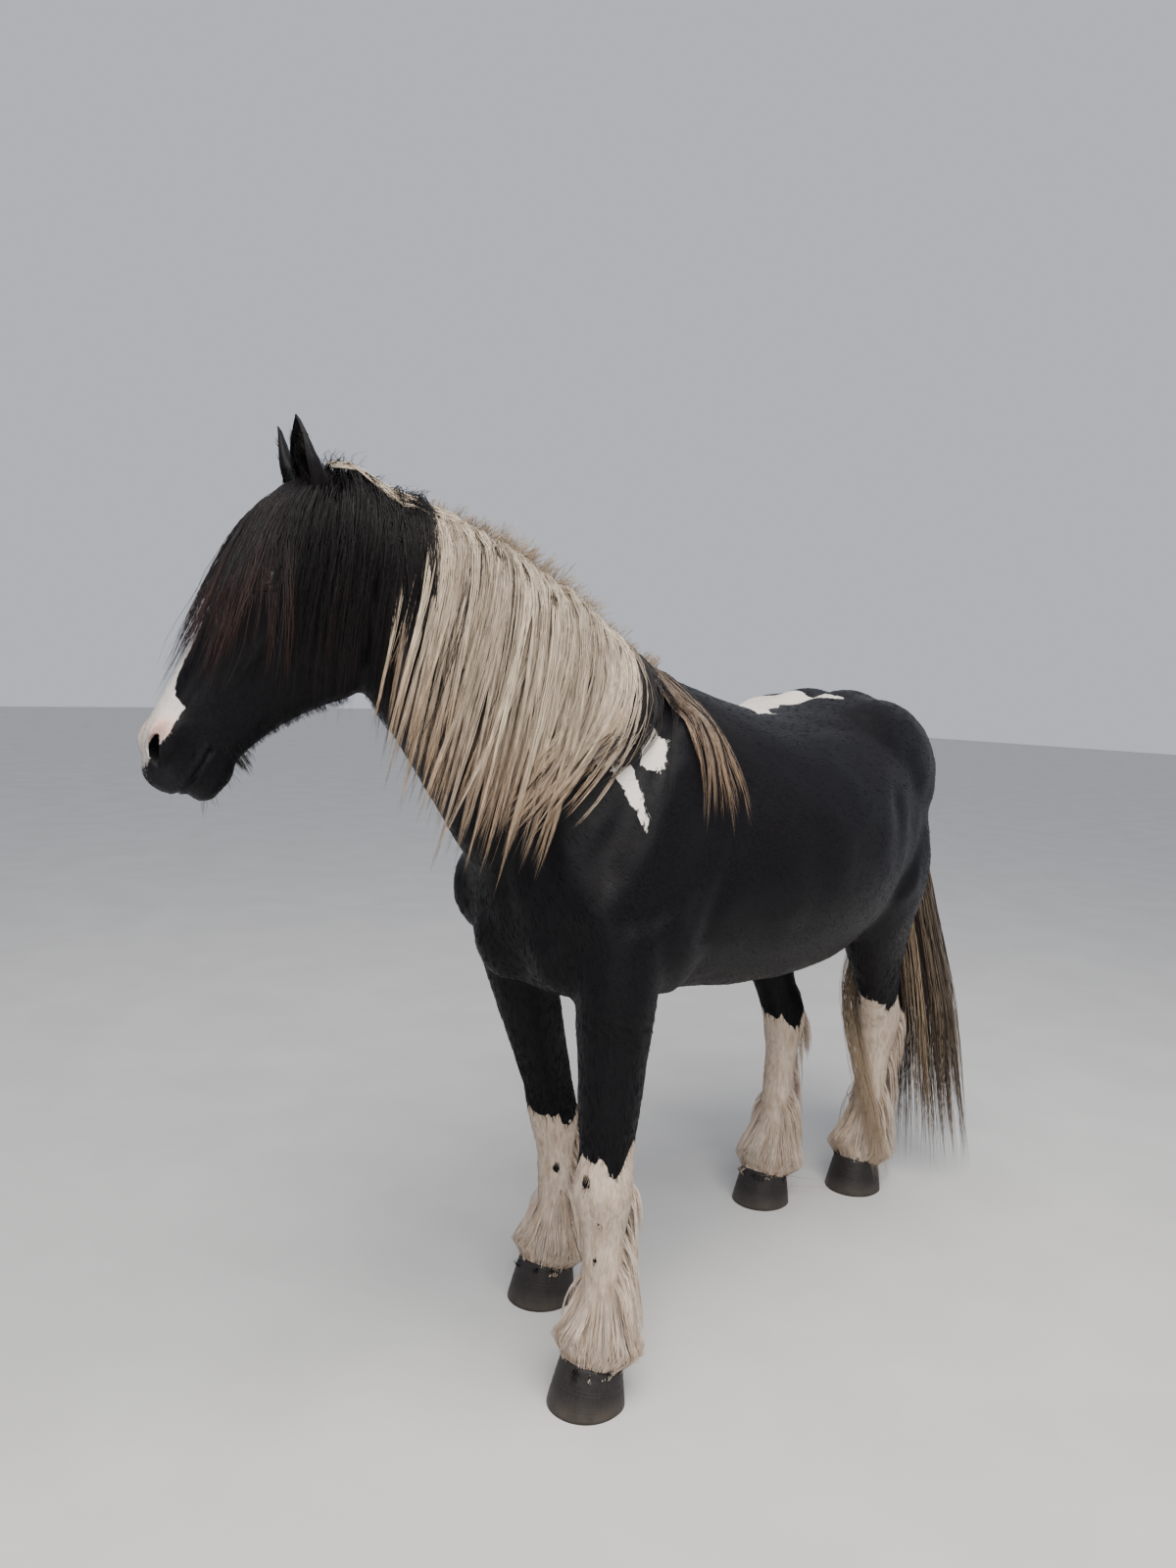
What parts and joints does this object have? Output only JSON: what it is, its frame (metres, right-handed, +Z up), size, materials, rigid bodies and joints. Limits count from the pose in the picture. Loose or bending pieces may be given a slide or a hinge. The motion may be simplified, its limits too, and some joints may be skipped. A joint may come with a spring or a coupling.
{
  "type": "gypsy cob horse model",
  "caption": "Life-size standing gypsy cob, a heavy piebald horse with long mane, tail and leg feather, its head turned to its right; a still museum model",
  "frame": {"origin": "middle of the bounding box in X and Y, on the floor in Z", "axes": "+Z up, the animal faces -X, its left side is towards -Y"},
  "size_m": [2.2994, 0.7442, 1.8666],
  "materials": {
    "coat_black": "short black coat with a soft sheen",
    "coat_white": "short cream-white coat over pink skin",
    "eye": "wet, dark brown eye",
    "feather": "long cream leg hair",
    "hair_black": "long black hair",
    "hair_brown": "long dark brown and sandy hair",
    "hair_cream": "long cream and sandy hair",
    "hoof": "dark grey horn"
  },
  "bodies": {
    "root": {"front_left_shank": "coat_white", "front_left_thigh": "coat_black", "front_right_shank": "coat_white", "front_right_thigh": "coat_black", "hind_left_shank": "coat_white", "hind_left_thigh": "coat_black", "hind_right_shank": "coat_white", "hind_right_thigh": "coat_black", "head": "coat_black", "neck": "coat_black", "torso": "coat_black", "front_left_hoof": "hoof", "front_right_hoof": "hoof", "hind_left_hoof": "hoof", "hind_right_hoof": "hoof", "eye_left": "eye", "eye_right": "eye", "ear_left": "coat_black", "ear_right": "coat_black", "dock": "coat_black", "forelock": "hair_black", "mane_poll": "hair_black", "mane": "hair_cream", "beard": "hair_black", "tail": "hair_brown", "tail_strand": "hair_brown", "front_left_feather": "feather", "front_right_feather": "feather", "hind_left_feather": "feather", "hind_right_feather": "feather"}
  },
  "joints": []
}
